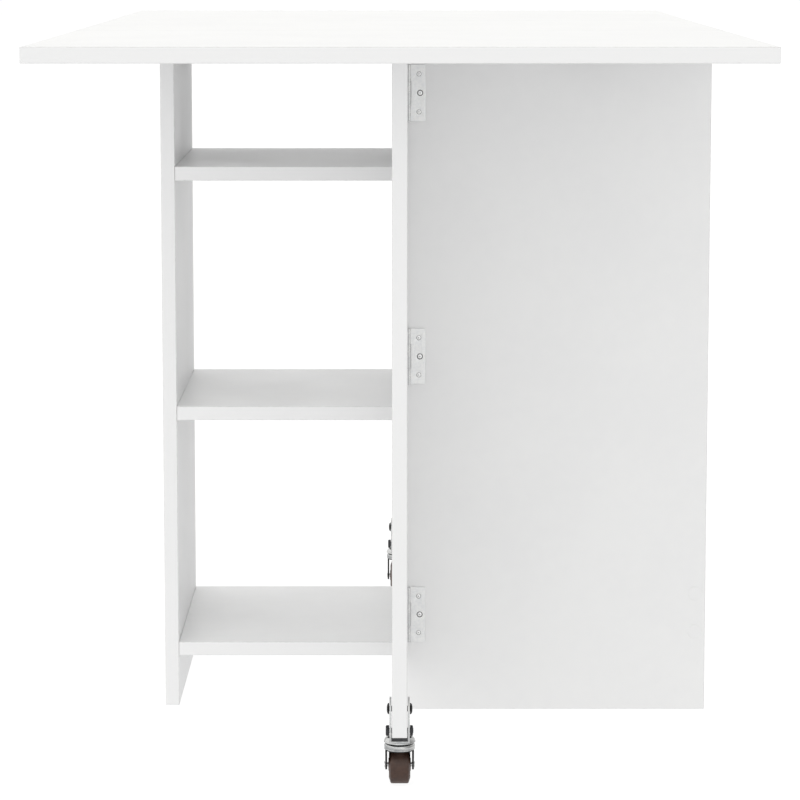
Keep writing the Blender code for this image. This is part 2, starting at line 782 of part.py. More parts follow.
def build_wheel(end, axle_y, rubber, plated):
    """The wheel with its crowned sides, and the axle that is riveted through the fork."""
    centre = (GATE_X, axle_y, WHEEL_RADIUS)
    bore = AXLE_RADIUS + AXLE_CLEARANCE
    hub = WHEEL_HUB_WIDTH / 2
    tread = WHEEL_TREAD_WIDTH / 2
    rounding = WHEEL_TREAD_ROUNDING
    flank = arc(WHEEL_RADIUS - rounding, tread - rounding, rounding, 90, 0, 3)
    right = [(bore, hub), (WHEEL_RADIUS * 0.45, hub), (WHEEL_RADIUS * 0.72, hub - 0.0006), *flank]
    left = [(radius, -along) for radius, along in reversed(right)]
    wheel = add_object(
        f"{end}_caster_wheel",
        turned_mesh(right + left, (1, 0, 0), centre, ROUND_STEPS),
        rubber,
    )
    seat = FORK_OUTER + FIT_GAP
    head = seat + AXLE_HEAD_HEIGHT
    profile = [
        (0, -head),
        (AXLE_HEAD_RADIUS, -head),
        (AXLE_HEAD_RADIUS, -seat),
        (AXLE_RADIUS, -seat),
        (AXLE_RADIUS, seat),
        (AXLE_HEAD_RADIUS, seat),
        (AXLE_HEAD_RADIUS, head),
        (0, head),
    ]
    axle = add_object(
        f"{end}_caster_axle", turned_mesh(profile, (1, 0, 0), centre, SMALL_STEPS), plated
    )
    return wheel, axle


def build():
    clear_scene()
    white = material("white_melamine", (0.86, 0.86, 0.865), 0.35)
    plated = material("plated_steel", (0.72, 0.72, 0.73), 0.28, 1.0)
    black = material("black_steel", (0.02, 0.02, 0.022), 0.4, 0.6)
    grey = material("dark_grey_steel", (0.09, 0.09, 0.095), 0.45, 0.8)
    brown = material("brown_rubber", (0.075, 0.05, 0.04), 0.55)
    dark = material("dark_rubber", (0.05, 0.05, 0.055), 0.7)
    plastic = material("white_plastic", (0.8, 0.8, 0.8), 0.45)

    build_cabinet(white)
    leaves = build_top(white)
    halves = {
        "fixed": hinge_half_mesh("fixed", plated),
        "staked": hinge_half_mesh("fixed", plated, with_pin=True),
        "moving": hinge_half_mesh("moving", plated),
    }
    for end, outward in ENDS.items():
        leaf_axis = joint_axis(f"{end}_leaf_axis", (0, outward * LEAF_PIN_Y, LEAF_PIN_Z))
        hang_on(leaf_axis, leaves[end], *build_leaf_hinges(end, halves))

        caster_y = outward * CASTER_Y
        axle_y = outward * AXLE_Y
        gate_axis = joint_axis(f"{end}_gate_axis", (GATE_PIN_X, outward * GATE_PIN_Y, 0))
        turning = build_gate(end, white, plastic) + build_gate_hinges(end, halves, plated)
        turning += [build_bracket(end, caster_y, plated), build_pad(end, caster_y, dark)]
        turning += build_bolts(end, caster_y, black, grey)
        hang_on(gate_axis, *turning)

        swivel_axis = joint_axis(f"{end}_swivel_axis", (GATE_X, caster_y, 0))
        wheel, axle = build_wheel(end, axle_y, brown, plated)
        housing = build_housing(end, caster_y, plated)
        fork = build_fork(end, caster_y, axle_y, black)
        hang_on(swivel_axis, housing, fork, axle)
        wheel_axis = joint_axis(f"{end}_wheel_axis", (GATE_X, axle_y, WHEEL_RADIUS))
        hang_on(wheel_axis, wheel)


build()
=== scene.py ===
"""Looks of a drop-leaf sewing table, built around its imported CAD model.

Everything is in metres, in the frame's own axes: X across the table, Y along it, Z up from the
floor. The front half is the -Y half, and the rear half is its mirror image.
"""

import math

import bmesh
import bpy
from mathutils import Matrix, Vector


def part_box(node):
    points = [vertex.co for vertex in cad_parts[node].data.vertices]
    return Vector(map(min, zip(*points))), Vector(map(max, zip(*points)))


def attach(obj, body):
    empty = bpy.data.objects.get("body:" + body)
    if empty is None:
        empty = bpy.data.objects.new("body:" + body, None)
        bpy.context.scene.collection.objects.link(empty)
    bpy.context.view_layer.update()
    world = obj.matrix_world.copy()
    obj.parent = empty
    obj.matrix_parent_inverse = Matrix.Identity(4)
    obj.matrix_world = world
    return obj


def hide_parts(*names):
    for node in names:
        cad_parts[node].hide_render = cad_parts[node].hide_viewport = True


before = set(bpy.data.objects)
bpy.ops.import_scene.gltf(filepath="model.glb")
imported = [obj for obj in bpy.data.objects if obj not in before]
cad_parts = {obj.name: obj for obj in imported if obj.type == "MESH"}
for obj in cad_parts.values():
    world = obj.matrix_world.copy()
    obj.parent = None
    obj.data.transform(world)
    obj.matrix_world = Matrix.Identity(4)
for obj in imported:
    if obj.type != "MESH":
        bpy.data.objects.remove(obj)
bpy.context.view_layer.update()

ENDS = {"front": -1, "rear": 1}
LEVELS = ("lower", "middle", "upper")
AXES = {"x": 0, "y": 1, "z": 2}

# Mesh work: lengths that count as nothing, how far a cutter overshoots, and angles in degrees
SEAM = 0.000003
CAD_SEAM = 0.000001
NEAR = 0.00001
CUT_PAST = 0.001
CAD_FLAT = 0.5
SHARP_EDGE = 35

# Hinges: one butt hinge, on the gates and under the leaves. Its pin is on Y, a plate runs along +X
# and the plate's face looks along +Z.
HINGE_LENGTH = 0.064
HINGE_LEAF_WIDTH = 0.01875
HINGE_BARREL = 0.002
HINGE_BORE = 0.0014
HINGE_PIN = 0.0011
HINGE_ARRIS = 0.00018
PIN_SHORT = 0.0003
HINGE_ROOT = 0.0023
HINGE_FACE = -0.0015
HINGE_BACK = -0.0027
HINGE_CORNER = 0.0012
CORNER_STEPS = 5
MIDDLE_KNUCKLE = 0.027
KNUCKLE_GAP = 0.0003
# A hinge plate's finishes: its plated steel, painted shade for the countersinks, and a darker
# painted-shade copy of the steel for the knuckles
PLATE_FINISHES = ("hinge", "recess", "knuckle")

# Screws: (x, y, kind) on a plate, and each kind's countersink radius and (head radius, sink).
# A countersink takes up its share of the plate's thickness.
SCREW_PLACES = ((0.0111, -0.0214, "end"), (0.0124, 0.0, "middle"), (0.0111, 0.0214, "end"))
SCREW_HOLE = 0.0017
COUNTERSINK = {"end": 0.0027, "middle": 0.0034}
COUNTERSINK_SHARE = 0.8
SCREW_HEADS = {"end": (0.0024, 0.00005), "middle": (0.0026, 0.0002)}
SCREW_SHANK = 0.00155
SCREW_TIP = -0.0032
SCREW_TAPER = -0.0026
SCREW_NECK = -0.0011

# The cross recess in a screw's head, the zone of its faces painted near-black as shade, and how each
# cross is turned
CROSS_REACH = 0.0008
CROSS_HALF_WIDTH = 0.00018
CROSS_DEPTH = 0.0009
CROSS_TAPER = 0.5
CROSS_SHADE_ZONE = 0.00082
CROSS_SHADE_TOP = 0.00003
CROSS_SHADE_FLOOR = -0.00115
FIRST_TWIST = 0.35
NEXT_TWIST = 0.9
PLACE_TWIST = 12.7

# Caster wheel: its side, as (radius, depth below the hub's face) from the axle out to the tread,
# and its crowned tread, as (depth below the full radius, distance from the middle)
WHEEL_SIDE = (
    (0.0028, 0.0003),
    (0.0031, 0),
    (0.0064, 0),
    (0.0069, 0.0003),
    (0.0074, 0.0012),
    (0.0080, 0.0015),
    (0.0118, 0.0016),
    (0.0124, 0.0013),
    (0.0129, 0.0007),
    (0.0136, 0.0005),
    (0.0150, 0.0009),
    (0.0172, 0.0017),
    (0.0189, 0.0022),
    (0.0195, 0.0026),
    (0.0198, 0.0031),
)
TREAD_EDGE = 0.0038
TREAD_SHOULDER = 0.00004
TREAD_CROWN = ((0.00002, 0.0006), (0, 0.0002))

# Bearing cup
CUP_BORE = 0.0033
CUP_ROOM = 0.0017
CUP_WALL = 0.0006
CUP_ARRIS = 0.0001
CUP_GROOVE = 0.0003
CUP_SHOULDER_FOOT = 0.0034
CUP_SHOULDER_WIDTH = 0.0026
CUP_SHOULDER_HEIGHT = 0.0028
CUP_SHOULDER_STEPS = 6

# Bolts through the caster's bracket: button heads above, a hexagon head and a nut below
BOLT_SHANK = 0.003
BUTTON_HEIGHT = 0.0026
BUTTON_RIM = 0.0005
BUTTON_DOME = 0.0021
BUTTON_FULLNESS = 0.8
BUTTON_STEPS = 8
SOCKET_ACROSS = 0.0035
SOCKET_DEPTH = 0.0015
HEX_HEAD = 0.0037
HEX_NUT = 0.0032
HEX_OVERLAP = 0.001
TIP_RADIUS = 0.0026
TIP_START = 0.002
THREAD_START = 0.0030
THREAD_STEP = 0.00014
THREAD_ROOT = 0.0024
THREAD_DEPTH = 0.0002
THREAD_POINTS = 5

# Cover caps over the fixings of the right end rail
CAP_RADIUS = 0.008
CAP_THICKNESS = 0.00035
CAP_RIM = 0.00022
CAP_ARRIS = 0.0001
CAP_GAP = 0.00002
CAP_FROM_EDGE = 0.0119
CAP_HEIGHTS = (0.0916, 0.1363)

# Light: an even sky, and softer lobes of it about some directions
FLOOR_SIZE = 30
FLOOR_GLOW = 0.71
FLOOR_GLOW_SEEN = 0.92
SKY_LEVEL = 0.336
SKY_SEEN = 1.02
SKY_TINT = (1.0, 0.998, 0.985, 1.0)
SKY_LOBE_FOCUS = 2.0
SKY_LOBES = (
    ((0, -1, 0.15), 1.06),
    ((0, 0.7, 0.7), 0.89),
    ((0, 1, 0.1), 0.15),
    ((-1, 0, 0.3), 0.72),
)

# Camera: place in metres, angle below the horizon in degrees, lens and sensor in millimetres
CAMERA_PLACE = (-0.003785, -3.608644, 0.88883)
CAMERA_DOWN = 7.062
CAMERA_LENS = 136.99
CAMERA_SENSOR = 36
CAMERA_SHIFT = (0.005, -0.11)
CAMERA_FAR = 100


# Shader helpers -------------------------------------------------------------------------------


class Nodes:
    """A node tree, with short calls for the procedural nodes that feed its shader."""

    def __init__(self, tree):
        self.tree = tree
        self.coords = tree.nodes.new("ShaderNodeTexCoord")

    def node(self, kind, inputs=(), **settings):
        made = self.tree.nodes.new(kind)
        for key, value in settings.items():
            setattr(made, key, value)
        for key, value in dict(inputs).items():
            if isinstance(value, bpy.types.NodeSocket):
                self.tree.links.new(value, made.inputs[key])
            else:
                made.inputs[key].default_value = value
        return made

    def noise(self, scale, detail=2.0, roughness=0.5, stretch=(1, 1, 1)):
        place = self.node(
            "ShaderNodeMapping", {"Vector": self.coords.outputs["Object"], "Scale": stretch}
        )
        made = self.node(
            "ShaderNodeTexNoise",
            {
                "Vector": place.outputs["Vector"],
                "Scale": scale,
                "Detail": detail,
                "Roughness": roughness,
            },
        )
        return made.outputs["Fac"]

    def span(self, value, low, high, to_low=0.0, to_high=1.0):
        made = self.node(
            "ShaderNodeMapRange",
            {
                "Value": value,
                "From Min": low,
                "From Max": high,
                "To Min": to_low,
                "To Max": to_high,
            },
            interpolation_type="SMOOTHSTEP",
        )
        return made.outputs["Result"]

    def maths(self, operation, first, second=0.0):
        made = self.node("ShaderNodeMath", {0: first, 1: second}, operation=operation)
        return made.outputs["Value"]

    def shared(self, first, share, second, other_share):
        """One value times its share, plus another times its own."""
        first_part = self.maths("MULTIPLY", first, share)
        return self.maths("ADD", first_part, self.maths("MULTIPLY", second, other_share))

    def blend(self, share, first, second):
        made = self.node("ShaderNodeMix", {"Factor": share}, data_type="RGBA")
        for place, colour in ((6, first), (7, second)):
            if isinstance(colour, bpy.types.NodeSocket):
                self.tree.links.new(colour, made.inputs[place])
            else:
                made.inputs[place].default_value = (*colour, 1.0)
        return made.outputs[2]

    def bump(self, height, distance, strength):
        inputs = {"Height": height, "Distance": distance, "Strength": strength}
        return self.node("ShaderNodeBump", inputs).outputs["Normal"]


class Finish(Nodes):
    """A Principled material. Values that are the same all over it are given by name."""

    def __init__(self, name, **uniform):
        self.material = bpy.data.materials.new(name)
        self.material.use_nodes = True
        super().__init__(self.material.node_tree)
        self.shader = self.tree.nodes["Principled BSDF"]
        for key, value in uniform.items():
            self.shader.inputs[key.replace("_", " ")].default_value = value

    def wear(self, colour, roughness=None, normal=None):
        for key, socket in (("Base Color", colour), ("Roughness", roughness), ("Normal", normal)):
            if socket is not None:
                self.tree.links.new(socket, self.shader.inputs[key])
        return self.material


def laminate(thin):
    """White melamine board: pearl-textured faces across the thin axis, and banded edges."""
    made = Finish(f"white_laminate_{thin}")
    across = made.node("ShaderNodeSeparateXYZ", {"Vector": made.coords.outputs["Normal"]})
    facing_thin = made.maths("ABSOLUTE", across.outputs[AXES[thin]])
    face = made.span(facing_thin, 0.93, 0.99)
    band = made.span(facing_thin, 0.12, 0.2, 1.0, 0.0)
    flat = made.maths("MAXIMUM", face, band)

    mottle = made.noise(7, 3)
    cloud = made.noise(60, 4, 0.6)
    patch = made.span(made.shared(mottle, 0.6, cloud, 0.4), 0.35, 0.65)
    face_colour = made.blend(patch, (0.875, 0.876, 0.879), (0.893, 0.894, 0.894))
    stretch = [3.0] * 3
    stretch[AXES[thin]] = 40.0
    milled = made.noise(30, 3, 0.6, stretch)
    band_colour = made.blend(milled, (0.872, 0.874, 0.879), (0.890, 0.891, 0.893))
    plain = made.blend(face, band_colour, face_colour)
    rubbed = made.span(made.noise(140, 4, 0.7), 0.35, 0.7)
    seam = made.blend(rubbed, (0.78, 0.78, 0.775), (0.87, 0.87, 0.87))
    colour = made.blend(flat, seam, plain)

    smudge = made.span(made.noise(11, 5, 0.62), 0.3, 0.72, 0.31, 0.41)
    grit = made.maths("MULTIPLY", made.noise(900, 2), 0.05)
    roughness = made.maths("ADD", smudge, grit)
    roughness = made.maths("ADD", roughness, made.maths("MULTIPLY", band, 0.05))

    pearl = made.noise(1100, 2, 0.5)
    waves = made.noise(260, 2, 0.5)
    normal = made.bump(made.shared(pearl, 0.6, waves, 0.4), distance=0.00005, strength=0.28)
    return made.wear(colour, roughness, normal)


def metal(name, dark, light, smooth, rough, brush=(1, 1, 1), scale=90):
    """Bare or plated steel with brush marks, faint stains and fine scratches."""
    made = Finish(name, Metallic=1.0)
    stain = made.noise(scale, 4, 0.6)
    streak = made.noise(scale * 4, 3, 0.65, brush)
    tone = made.span(made.shared(stain, 0.55, streak, 0.45), 0.32, 0.68)
    colour = made.blend(tone, dark, light)
    dulled = made.maths("ADD", stain, made.maths("MULTIPLY", streak, 0.5))
    roughness = made.span(dulled, 0.45, 1.05, smooth, rough)
    fine = made.noise(scale * 25, 2, 0.6, brush)
    normal = made.bump(made.maths("ADD", fine, streak), distance=0.00003, strength=0.25)
    return made.wear(colour, roughness, normal)


def coated(name, deep, worn, smooth, rough, metallic=0.0, gloss=0.5):
    """Painted or blackened steel, rubbed lighter in small patches."""
    made = Finish(name, Metallic=metallic, Specular_IOR_Level=gloss)
    patch = made.noise(160, 5, 0.68)
    colour = made.blend(made.span(patch, 0.52, 0.78), deep, worn)
    roughness = made.span(made.noise(400, 4, 0.6), 0.3, 0.7, smooth, rough)
    normal = made.bump(made.noise(2240, 3, 0.55), distance=0.00006, strength=0.35)
    return made.wear(colour, roughness, normal)


def moulded(name, deep, pale, smooth, rough, grain=0.35, dust=None):
    """Moulded rubber or plastic, with a fine mould texture and a little dust in the grain."""
    made = Finish(name)
    cloud = made.noise(120, 4, 0.6)
    colour = made.blend(made.span(cloud, 0.3, 0.7), deep, pale)
    if dust:
        specks = made.span(made.noise(1080, 5, 0.7), 0.58, 0.72, 0.0, 0.6)
        colour = made.blend(specks, colour, dust)
    roughness = made.span(made.noise(360, 4, 0.6), 0.3, 0.7, smooth, rough)
    normal = made.bump(made.noise(1920, 2, 0.5), distance=0.00005, strength=grain)
    return made.wear(colour, roughness, normal)


FINISHES = {
    "hinge": metal(
        "plated_hinge_steel", (0.80, 0.81, 0.82), (0.92, 0.92, 0.91), 0.36, 0.52, brush=(1, 1, 0.08)
    ),
    # Painted shade: a darker, glossier copy of the hinge steel for the knuckles, so the barrel reads
    # darker than the plate
    "knuckle": metal(
        "knuckle_painted_shade_steel", (0.58, 0.59, 0.60), (0.74, 0.74, 0.73), 0.16, 0.30, brush=(1, 0.08, 1)
    ),
    # Painted shade: a near-black steel for the countersinks and cross recesses, standing in for the
    # shade in these hollows
    "recess": coated("recess_painted_shade_steel", (0.02, 0.02, 0.021), (0.07, 0.07, 0.07), 0.5, 0.7),
    "screw": metal(
        "plated_screw_steel", (0.88, 0.88, 0.89), (0.96, 0.96, 0.95), 0.26, 0.38, scale=300
    ),
    "bracket": metal(
        "plated_bracket_steel", (0.44, 0.45, 0.46), (0.66, 0.66, 0.65), 0.20, 0.34, brush=(1, 0.1, 1)
    ),
    "race": metal(
        "bright_race_steel", (0.34, 0.35, 0.36), (0.70, 0.70, 0.69), 0.08, 0.20, brush=(1, 1, 9)
    ),
    "black": coated(
        "blackened_steel", (0.006, 0.006, 0.006), (0.020, 0.019, 0.019), 0.40, 0.56, gloss=0.22
    ),
    "nut": coated(
        "dark_nut_steel", (0.055, 0.056, 0.06), (0.13, 0.13, 0.135), 0.32, 0.46, metallic=0.7
    ),
    "tyre": moulded(
        "brown_tyre_rubber",
        (0.043, 0.019, 0.012),
        (0.064, 0.030, 0.019),
        0.42,
        0.56,
        dust=(0.10, 0.07, 0.055),
    ),
    "pad": moulded("black_pad_rubber", (0.020, 0.020, 0.022), (0.04, 0.04, 0.042), 0.55, 0.72),
    "nylon": moulded(
        "white_nylon", (0.78, 0.78, 0.77), (0.86, 0.86, 0.85), 0.34, 0.48, grain=0.2
    ),
}
LAMINATES = {thin: laminate(thin) for thin in AXES}


# Shape helpers --------------------------------------------------------------------------------


def turned(profile, steps):
    """A closed solid of revolution about Z, from (radius, height) points that wind one way.

    A profile that starts on the axis ends on it too. Any other profile is closed into a ring.
    """
    bm = bmesh.new()
    rings = []
    for radius, height in profile:
        if radius == 0:
            rings.append([bm.verts.new((0, 0, height))] * steps)
            continue
        turns = [2 * math.pi * i / steps for i in range(steps)]
        rings.append([bm.verts.new((radius * math.cos(t), radius * math.sin(t), height)) for t in turns])
    pairs = list(zip(rings, rings[1:]))
    if profile[0][0] > 0:
        pairs.append((rings[-1], rings[0]))
    for low, high in pairs:
        for i in range(steps):
            j = (i + 1) % steps
            corners = []
            for vert in (low[i], low[j], high[j], high[i]):
                if vert not in corners:
                    corners.append(vert)
            bm.faces.new(corners)
    bmesh.ops.recalc_face_normals(bm, faces=bm.faces)
    return bm


def prism(outline, low, high):
    """An outline of (x, y) points, raised from low to high along Z."""
    bm = bmesh.new()
    face = bm.faces.new([bm.verts.new((x, y, low)) for x, y in outline])
    grown = bmesh.ops.extrude_face_region(bm, geom=[face])["geom"]
    moved = [item for item in grown if isinstance(item, bmesh.types.BMVert)]
    bmesh.ops.translate(bm, verts=moved, vec=(0, 0, high - low))
    bmesh.ops.recalc_face_normals(bm, faces=bm.faces)
    return bm


def along_y(bm):
    """Lays a shape that was turned about Z along Y."""
    bmesh.ops.rotate(bm, verts=bm.verts, matrix=Matrix.Rotation(-math.pi / 2, 3, "X"))
    return bm


def add_to(bm, other):
    """Adds a second bmesh's geometry to the first."""
    passing = bpy.data.meshes.new("passing")
    other.to_mesh(passing)
    other.free()
    bm.from_mesh(passing)
    bpy.data.meshes.remove(passing)


def as_object(name, bm, finish=None):
    mesh = bpy.data.meshes.new(name)
    bm.to_mesh(mesh)
    bm.free()
    mesh.shade_smooth()
    mesh.set_sharp_from_angle(angle=math.radians(SHARP_EDGE))
    if finish:
        mesh.materials.append(finish)
    made = bpy.data.objects.new(name, mesh)
    bpy.context.scene.collection.objects.link(made)
    return made


def applied(target):
    """Bakes an object's modifiers into its mesh."""
    bpy.context.view_layer.update()
    graph = bpy.context.evaluated_depsgraph_get()
    mesh = bpy.data.meshes.new_from_object(target.evaluated_get(graph))
    target.modifiers.clear()
    target.data = mesh
    return target


def cut(target, tool, operation="DIFFERENCE"):
    """Applies a Boolean to the target and removes the tool."""
    step = target.modifiers.new("cut", "BOOLEAN")
    step.object = tool
    step.operation = operation
    step.solver = "EXACT"
    applied(target)
    bpy.data.objects.remove(tool)
    return target


def evened(target, sharp=SHARP_EDGE):
    """Smooth shading in which the big faces stay flat beside their rounded edges."""
    target.data.shade_smooth()
    target.data.set_sharp_from_angle(angle=math.radians(sharp))
    step = target.modifiers.new("normals", "WEIGHTED_NORMAL")
    step.keep_sharp = True
    step.weight = 100
    return applied(target)


def cleaned(target):
    """Merges the near-double points that Booleans leave, and splits every face into triangles."""
    bm = bmesh.new()
    bm.from_mesh(target.data)
    bmesh.ops.remove_doubles(bm, verts=bm.verts, dist=SEAM)
    bmesh.ops.dissolve_degenerate(bm, edges=bm.edges, dist=SEAM)
    bmesh.ops.triangulate(bm, faces=bm.faces)
    bm.to_mesh(target.data)
    bm.free()
    return target


def rounded(target, width, segments):
    """Bevels the sharp edges and shades the result."""
    step = target.modifiers.new("edge", "BEVEL")
    step.width = width
    step.segments = segments
    step.limit_method = "ANGLE"
    step.angle_limit = math.radians(SHARP_EDGE)
    applied(target)
    return evened(target)


def facing(origin, out, up):
    """The matrix of a local frame with +Z along out and +Y along up."""
    z_axis = Vector(out)
    y_axis = Vector(up)
    x_axis = y_axis.cross(z_axis)
    turn = Matrix((x_axis, y_axis, z_axis)).transposed().to_4x4()
    return Matrix.Translation(origin) @ turn


def settle(piece, body, slot, *nodes):
    """The piece rides on a body and stands for any nodes named, which it hides. The slot is not used."""
    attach(piece, body)
    if nodes:
        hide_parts(*nodes)
    return piece


def middle(node):
    """The middle of a CAD node's box."""
    low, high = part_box(node)
    return (low + high) / 2


# Boards ---------------------------------------------------------------------------------------


def dress_frame():
    """Gives the CAD nodes that stay in view their finishes: the hinge pins, axles and boards.

    The other nodes are replaced by pieces with finishes of their own.
    """
    for name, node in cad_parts.items():
        if name.endswith("_pin"):
            finish = FINISHES["hinge"]
        elif name.endswith("_axle"):
            finish = FINISHES["screw"]
        else:
            low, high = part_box(name)
            size = high - low
            thin = min(AXES, key=lambda axis: size[AXES[axis]])
            finish = LAMINATES[thin]
        node.data.materials.clear()
        node.data.materials.append(finish)


def cover_caps():
    """Two stick-on caps near each fixed panel's right edge."""
    profile = [
        (0, 0),
        (CAP_RADIUS - CAP_ARRIS, 0),
        (CAP_RADIUS, CAP_ARRIS),
        (CAP_RADIUS - CAP_RIM / 2, CAP_THICKNESS * 0.8),
        (CAP_RADIUS - CAP_RIM * 2, CAP_THICKNESS),
        (CAP_RADIUS * 0.6, CAP_THICKNESS * 0.96),
        (0, CAP_THICKNESS * 0.92),
    ]
    for end, outward in ENDS.items():
        low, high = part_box(f"{end}_fixed_panel")
        face = low.y if outward < 0 else high.y
        for level, height in zip(("lower", "upper"), CAP_HEIGHTS):
            cap = as_object(f"{end}_cover_cap_{level}", turned(profile, 48), LAMINATES["y"])
            place = Vector((high.x - CAP_FROM_EDGE, face + outward * CAP_GAP, height))
            cap.matrix_world = facing(place, (0, outward, 0), (0, 0, 1))
            settle(cap, "cabinet", "white_melamine")


# Hinges ---------------------------------------------------------------------------------------


def plate_outline(spans):
    """A hinge plate's outline, with round outer corners and a tongue to the pin at each span."""
    half = HINGE_LENGTH / 2
    points = []
    for centre_y, start in ((HINGE_CORNER - half, -90), (half - HINGE_CORNER, 0)):
        for i in range(CORNER_STEPS + 1):
            turn = math.radians(start + 90 / CORNER_STEPS * i)
            x = HINGE_LEAF_WIDTH - HINGE_CORNER + HINGE_CORNER * math.cos(turn)
            points.append((x, centre_y + HINGE_CORNER * math.sin(turn)))
    if spans[-1][1] < half:
        points.append((HINGE_ROOT, half))
    for low, high in reversed(spans):
        if high < half:
            points.append((HINGE_ROOT, high))
        points += [(0, high), (0, low)]
        if low > -half:
            points.append((HINGE_ROOT, low))
    if spans[0][0] > -half:
        points.append((HINGE_ROOT, -half))
    return points


def countersinks():
    """The screw holes as one cutter, each wider towards the plate's face."""
    bm = bmesh.new()
    sunk = COUNTERSINK_SHARE * (HINGE_FACE - HINGE_BACK)
    for x, y, kind in SCREW_PLACES:
        slope = (COUNTERSINK[kind] - SCREW_HOLE) / sunk
        profile = [
            (0, HINGE_BACK - CUT_PAST),
            (SCREW_HOLE, HINGE_BACK - CUT_PAST),
            (SCREW_HOLE, HINGE_FACE - sunk),
            (COUNTERSINK[kind] + slope * CUT_PAST, HINGE_FACE + CUT_PAST),
            (0, HINGE_FACE + CUT_PAST),
        ]
        hole = turned(profile, 40)
        bmesh.ops.translate(hole, verts=hole.verts, vec=(x, y, 0))
        add_to(bm, hole)
    return as_object("countersinks", bm)


def paint_plate(mesh):
    """Gives a hinge plate its finishes: plated steel, painted shade in the screw holes, and a darker
    painted-shade copy of the steel on the knuckles.
    """
    mesh.materials.clear()
    for key in PLATE_FINISHES:
        mesh.materials.append(FINISHES[key])
    for face in mesh.polygons:
        x, y, z = face.center
        # Painted shade: the knuckle faces take the darker copy of the steel
        if math.hypot(x, z) < HINGE_BARREL + NEAR:
            face.material_index = PLATE_FINISHES.index("knuckle")
        for hole_x, hole_y, kind in SCREW_PLACES:
            away = math.hypot(x - hole_x, y - hole_y)
            # Painted shade: the countersink faces take the near-black finish
            if away < COUNTERSINK[kind] - NEAR and z < HINGE_FACE - NEAR:
                face.material_index = PLATE_FINISHES.index("recess")


def hinge_half(part):
    """The mesh of half a hinge: moving, fixed, or staked, which is a fixed half with its pin."""
    half = HINGE_LENGTH / 2
    inner = MIDDLE_KNUCKLE / 2
    if part == "moving":
        spans = [(-inner, inner)]
    else:
        spans = [(-half, -inner - KNUCKLE_GAP), (inner + KNUCKLE_GAP, half)]
    plate = as_object("plate", prism(plate_outline(spans), HINGE_BACK, HINGE_FACE))
    rounded(plate, HINGE_ARRIS, 2)
    shoulder = HINGE_BARREL - HINGE_ARRIS
    for low, high in spans:
        ring = [
            (HINGE_BORE, low),
            (shoulder, low),
            (HINGE_BARREL, low + HINGE_ARRIS),
            (HINGE_BARREL, high - HINGE_ARRIS),
            (shoulder, high),
            (HINGE_BORE, high),
        ]
        cut(plate, as_object("tube", along_y(turned(ring, 40))), "UNION")
    if part == "staked":
        tip = half - PIN_SHORT
        pin = turned([(0, -tip), (HINGE_PIN, -tip), (HINGE_PIN, tip), (0, tip)], 24)
        cut(plate, as_object("pin", along_y(pin)), "UNION")
    cut(plate, countersinks())
    mesh = evened(cleaned(plate)).data
    paint_plate(mesh)
    bpy.data.objects.remove(plate)
    return mesh


def cross_screw(kind):
    """The mesh of a countersunk screw with a cross recess.

    Its head looks along +Z, and Z = 0 is the face of the plate that it sits in.
    """
    radius, sink = SCREW_HEADS[kind]
    profile = [
        (0, SCREW_TIP),
        (SCREW_SHANK * 0.8, SCREW_TIP),
        (SCREW_SHANK, SCREW_TAPER),
        (SCREW_SHANK, SCREW_NECK - sink),
        (radius - 0.00010, -0.00028 - sink),
        (radius, -0.00016 - sink),
        (radius - 0.00006, -0.00004 - sink),
        (radius * 0.8, 0.00010 - sink),
        (radius * 0.4, 0.00018 - sink),
        (0, 0.0002 - sink),
    ]
    body = as_object("screw", turned(profile, 36), FINISHES["screw"])
    # Second slot: the painted shade for the cross recess
    body.data.materials.append(FINISHES["recess"])
    for turn in (0, math.pi / 2):
        outline = [
            (-CROSS_REACH, -CROSS_HALF_WIDTH),
            (CROSS_REACH, -CROSS_HALF_WIDTH),
            (CROSS_REACH, CROSS_HALF_WIDTH),
            (-CROSS_REACH, CROSS_HALF_WIDTH),
        ]
        wing = prism(outline, -CROSS_DEPTH - sink, CUT_PAST)
        for vert in wing.verts:
            if vert.co.z < 0:
                vert.co.x *= CROSS_TAPER
        bmesh.ops.rotate(wing, verts=wing.verts, matrix=Matrix.Rotation(turn, 3, "Z"))
        cut(body, as_object("wing", wing))
    mesh = evened(cleaned(body)).data
    for face in mesh.polygons:
        x, y, z = face.center
        # Painted shade: the faces inside the cross recess take the near-black finish
        if math.hypot(x, y) < CROSS_SHADE_ZONE and CROSS_SHADE_FLOOR - sink < z < CROSS_SHADE_TOP - sink:
            face.material_index = 1
    bpy.data.objects.remove(body)
    return mesh


def fit_hinge_half(name, body, half, screws, pin, plate, out):
    """One hinge half in place of its CAD node, with its three screws as a piece of their own."""
    place = facing(pin, out, out.cross(plate))
    mesh = half.copy()
    mesh.name = f"{name}_plate"
    piece = bpy.data.objects.new(f"{name}_plate", mesh)
    bpy.context.scene.collection.objects.link(piece)
    piece.matrix_world = place
    settle(piece, body, "plated_steel", name)
    bm = bmesh.new()
    for number, (x, y, kind) in enumerate(SCREW_PLACES):
        twist = FIRST_TWIST + NEXT_TWIST * number + PLACE_TWIST * (pin.x + pin.y + pin.z)
        moved = screws[kind].copy()
        moved.transform(Matrix.Translation((x, y, HINGE_FACE)) @ Matrix.Rotation(twist, 4, "Z"))
        bm.from_mesh(moved)
        bpy.data.meshes.remove(moved)
    group = as_object(f"{name}_screws", bm, FINISHES["screw"])
    # Second slot: the painted shade in the cross recesses
    group.data.materials.append(FINISHES["recess"])
    group.matrix_world = place
    settle(group, body, "plated_steel")


